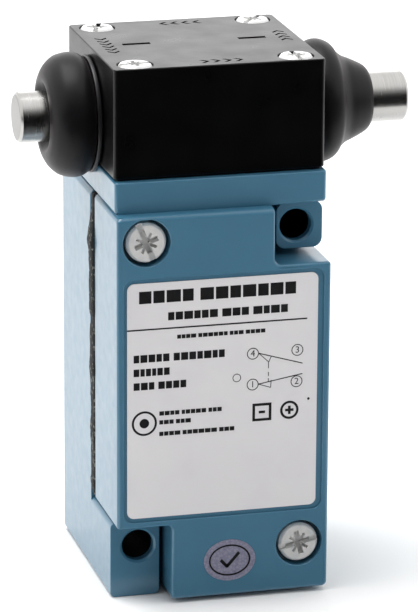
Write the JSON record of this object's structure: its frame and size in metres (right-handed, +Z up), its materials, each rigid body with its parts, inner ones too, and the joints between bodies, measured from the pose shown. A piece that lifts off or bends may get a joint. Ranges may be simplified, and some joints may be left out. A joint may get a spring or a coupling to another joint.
{
  "type": "limit switch",
  "caption": "Plug-in limit switch with a maintained push rod through its head, rubber boots on both plungers and a conduit entry below.",
  "frame": {"origin": "centre of the conduit entry's mouth in the foot of the base", "axes": "+Z up, along the conduit entry towards the head; +Y to the back, out of the mounting face; +X right, along the push rod, seen from the label side"},
  "size_m": [0.0734, 0.0446, 0.1007],
  "materials": {
    "casting_paint": "zinc die-casting, epoxy painted teal blue, semi-gloss",
    "head_coating": "zinc die-casting, black epoxy powder coat, semi-gloss",
    "plated_steel": "steel, bright zinc plated",
    "green_screw": "steel, green coated ground screw",
    "stainless_steel": "stainless steel, ground",
    "hardened_steel": "hardened steel, ground",
    "spring_steel": "spring steel",
    "brass_strip": "stamped brass with silver buttons",
    "bronze": "sintered bronze, oiled",
    "boot_rubber": "moulded black rubber, soft sheen",
    "ring_plastic": "black nylon",
    "gasket_rubber": "black cork and rubber sheet",
    "foil_label": "printed metallised foil",
    "foil_sticker": "printed metallised foil",
    "black_moulding": "moulded phenolic",
    "brown_moulding": "moulded phenolic",
    "white_moulding": "moulded acetal"
  },
  "bodies": {
    "switch_body": {"base_casting": "casting_paint", "switch_housing": "casting_paint", "terminal_block": "black_moulding", "block_case": "brown_moulding", "block_cover": "brown_moulding", "socket_1": "brass_strip", "socket_2": "brass_strip", "socket_3": "brass_strip", "socket_4": "brass_strip", "nc_contact_1": "brass_strip", "nc_contact_2": "brass_strip", "no_contact_3": "brass_strip", "no_contact_4": "brass_strip", "wire_clamps": "plated_steel", "terminal_screws": "plated_steel", "receptacle_screws": "plated_steel", "block_screws": "plated_steel", "cover_screws": "plated_steel", "head_screws": "plated_steel", "ground_screw": "green_screw", "housing_gasket": "gasket_rubber", "head_gasket": "gasket_rubber", "stem_seal": "gasket_rubber", "name_plate": "foil_label", "round_sticker": "foil_sticker", "follower_spring": "spring_steel", "detent_spring": "spring_steel", "guide_bush": "bronze", "left_bush": "bronze", "right_bush": "bronze", "detent_rivets": "hardened_steel", "head_casting": "head_coating", "left_boot": "boot_rubber", "right_boot": "boot_rubber", "left_boot_ring": "ring_plastic", "right_boot_ring": "ring_plastic"},
    "push_rod": {"cam_slider": "hardened_steel", "left_plunger": "stainless_steel", "right_plunger": "stainless_steel"},
    "follower": {"follower_stem": "stainless_steel", "stem_clip": "hardened_steel", "roller_pin": "hardened_steel"},
    "roller": {"follower_roller": "hardened_steel"},
    "plunger": {"switch_plunger": "white_moulding"},
    "carrier": {"contact_carrier": "white_moulding", "contact_bridge": "brass_strip", "contact_spring": "spring_steel", "toggle_springs": "spring_steel"}
  },
  "joints": [
    {"name": "push_rod_slide", "type": "slide", "parent": "switch_body", "child": "push_rod", "axis": [-1, 0, 0], "range_m": [0, 0.0062], "deforming": ["left_boot", "right_boot", "detent_spring"]},
    {"name": "follower_slide", "type": "slide", "parent": "switch_body", "child": "follower", "axis": [0, 0, -1], "range_m": [0, 0.00261], "deforming": ["follower_spring"]},
    {"name": "roller_spin", "type": "hinge", "parent": "follower", "child": "roller", "pos_m": [0, -0.01045, 0.086], "axis": [0, 1, 0], "range_deg": [-176, 0]},
    {"name": "switch_plunger_slide", "type": "slide", "parent": "switch_body", "child": "plunger", "axis": [0, 0, -1], "range_m": [0, 0.00261]},
    {"name": "contact_carrier_slide", "type": "slide", "parent": "switch_body", "child": "carrier", "axis": [0, 0, 1], "range_m": [0, 0.00211], "deforming": ["toggle_springs"]}
  ],
  "couplings": [
    {"joint": "follower_slide", "follows": "push_rod_slide", "ratio": 0.42},
    {"joint": "roller_spin", "follows": "push_rod_slide", "rad_per_m": -493.01},
    {"joint": "switch_plunger_slide", "follows": "push_rod_slide", "ratio": 0.42},
    {"joint": "contact_carrier_slide", "follows": "push_rod_slide", "ratio": 0.34}
  ]
}
